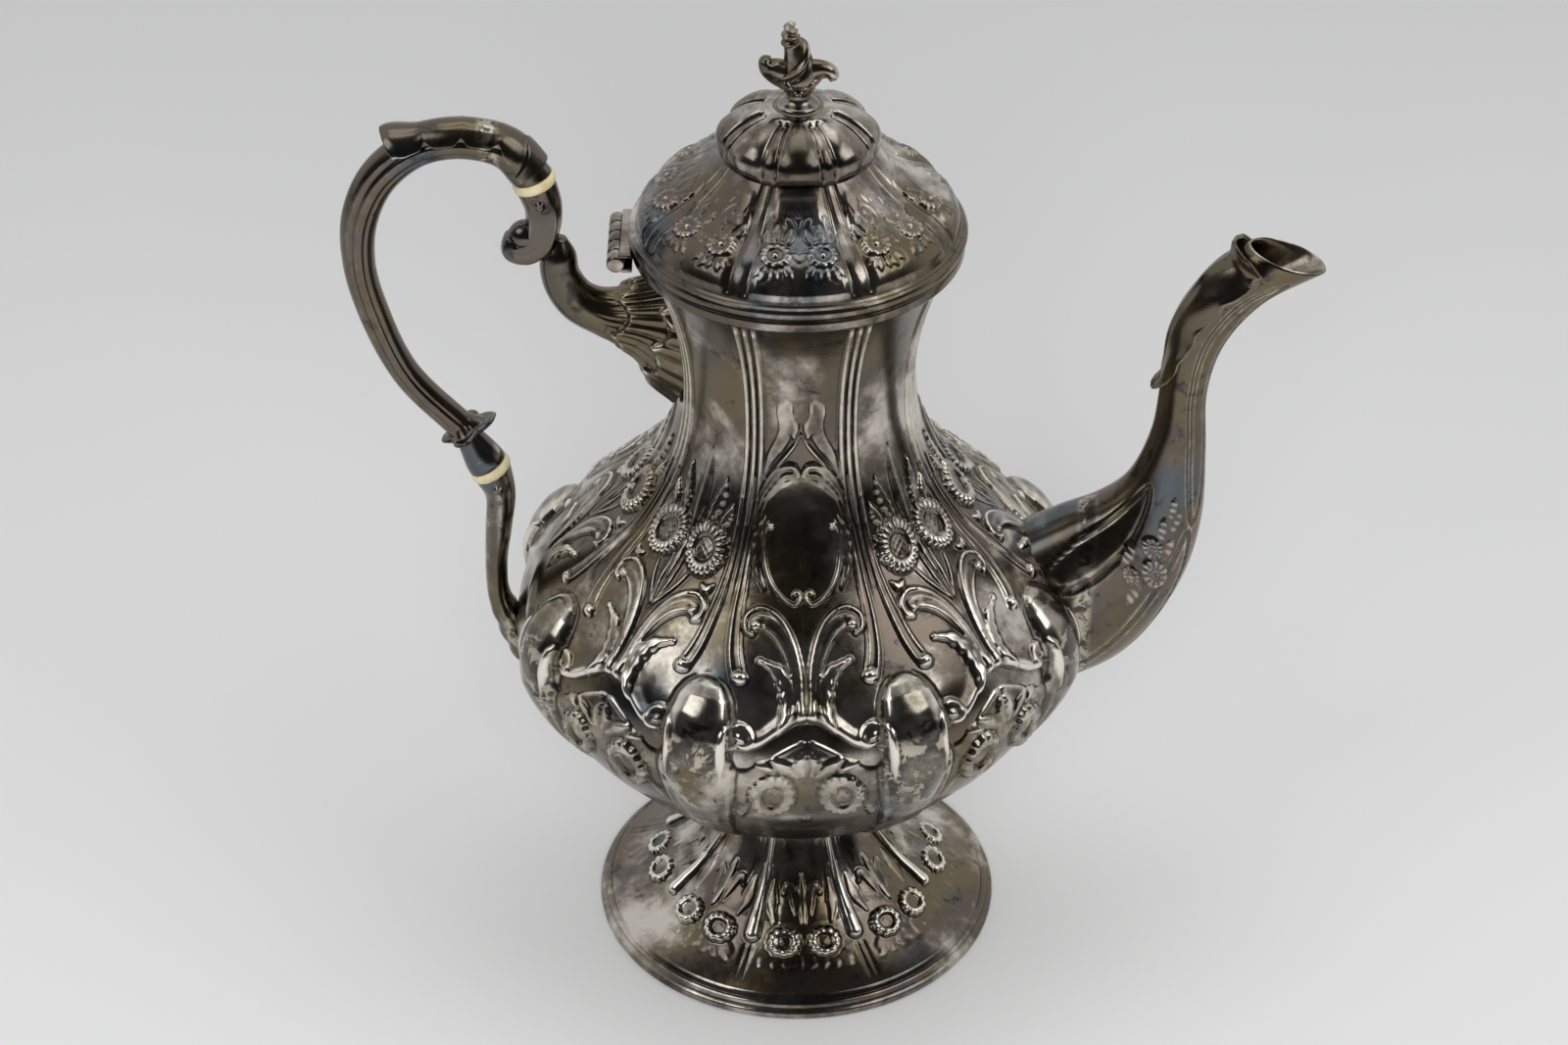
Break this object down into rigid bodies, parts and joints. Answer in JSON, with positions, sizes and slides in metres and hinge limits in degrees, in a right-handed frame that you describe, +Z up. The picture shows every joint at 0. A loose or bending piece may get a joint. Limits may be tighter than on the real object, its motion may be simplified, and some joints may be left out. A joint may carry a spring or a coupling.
{
  "type": "coffee pot",
  "caption": "Tarnished silver-plate coffee pot with a lobed pear body on a domed foot, an S-shaped spout, a scroll handle with cream insulator rings and a hinged lid with a shell finial",
  "frame": {"origin": "middle of the foot's resting face", "axes": "+Z up along the pot's axis, +X towards the spout, -X towards the handle, -Y the side seen in the picture"},
  "size_m": [0.2457, 0.1476, 0.2725],
  "materials": {
    "silver": "tarnished silver plate, brighter on the raised ornament",
    "ivory": "satin, cream"
  },
  "bodies": {
    "pot": {"foot_rim": "silver", "foot": "silver", "lower_bowl": "silver", "upper_body": "silver", "neck_rim": "silver", "hinge_body_leaf": "silver", "hinge_pin": "silver", "upper_socket": "silver", "upper_insulator": "ivory", "upper_insulator_rivets": "silver", "handle_grip": "silver", "handle_leaf": "silver", "lower_insulator": "ivory", "lower_insulator_rivets": "silver", "lower_socket": "silver", "spout": "silver", "spout_leaf": "silver"},
    "lid": {"lid_rim": "silver", "lid_bezel": "silver", "lid_shell": "silver", "lid_crown": "silver", "finial": "silver", "finial_washer": "silver", "finial_nut": "silver", "hinge_lid_leaf": "silver"}
  },
  "joints": [
    {"name": "lid_hinge", "type": "hinge", "parent": "pot", "child": "lid", "pos_m": [-0.045, 0, 0.211], "axis": [0, -1, 0], "range_deg": [0, 75]}
  ]
}
